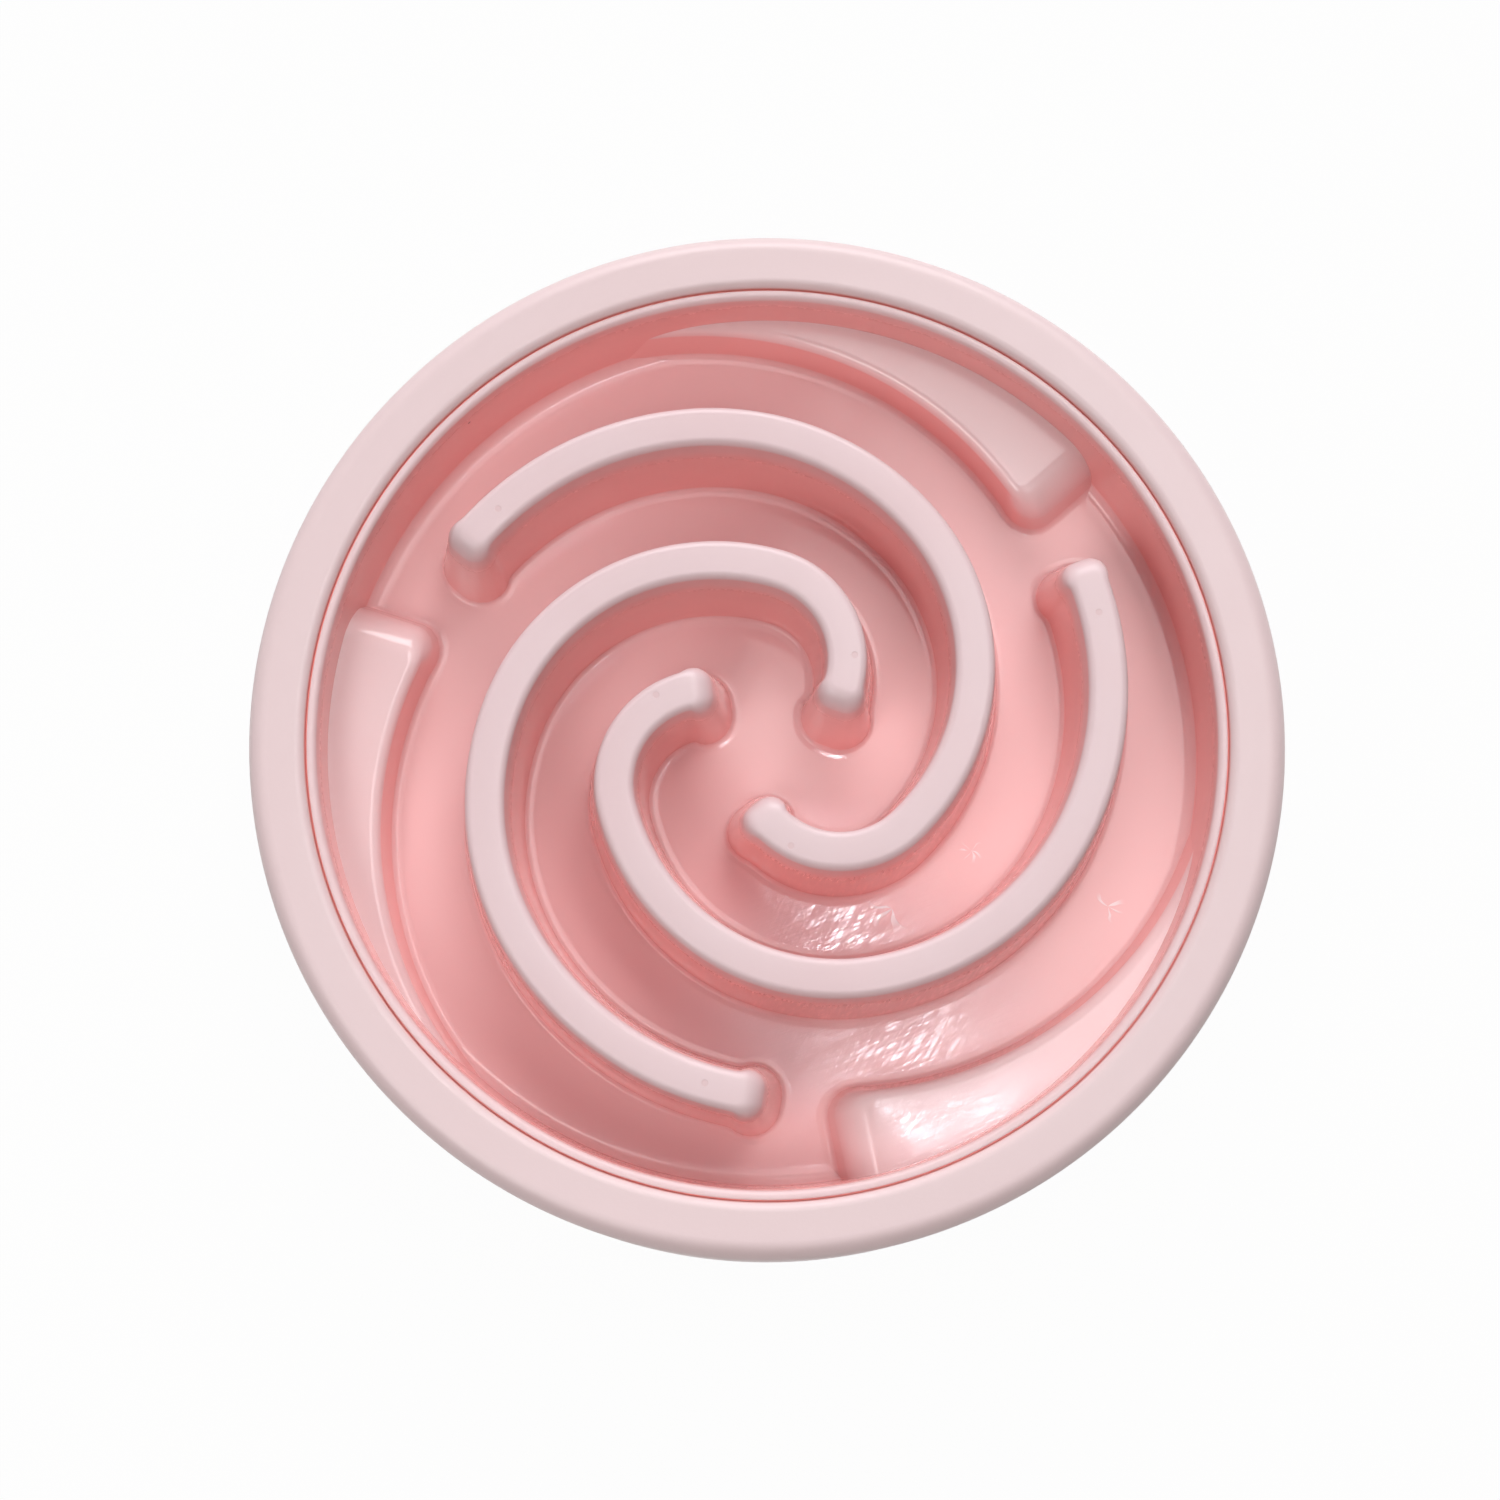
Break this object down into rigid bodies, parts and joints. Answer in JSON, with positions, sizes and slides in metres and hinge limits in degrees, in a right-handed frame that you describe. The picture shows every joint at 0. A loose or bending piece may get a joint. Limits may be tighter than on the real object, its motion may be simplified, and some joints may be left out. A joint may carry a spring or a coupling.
{
  "type": "slow feeder bowl",
  "caption": "Round slow feeder bowl: a skirted stand with a flat rim, a lift-out maze insert with spiral ridges and wall shelves, and rubber feet.",
  "frame": {"origin": "on the table, under the middle of the bowl", "axes": "+Z up along the bowl's axis, +X to the right and +Y up in the picture, away from the side that the camera stands at"},
  "size_m": [0.2012, 0.2012, 0.0465],
  "materials": {
    "stand_plastic": "pale pink moulded plastic with a satin surface",
    "insert_plastic": "pink moulded plastic, glossy in the channels and satin on the ridge tops",
    "foot_rubber": "matt dark rubber"
  },
  "bodies": {
    "stand": {"outer_bowl": "stand_plastic", "foot_1": "foot_rubber", "foot_2": "foot_rubber", "foot_3": "foot_rubber", "foot_4": "foot_rubber"},
    "insert": {"maze_insert": "insert_plastic"}
  },
  "joints": [
    {"name": "insert_lift", "type": "slide", "parent": "stand", "child": "insert", "axis": [0, 0, 1], "range_m": [0, 0.04]}
  ]
}
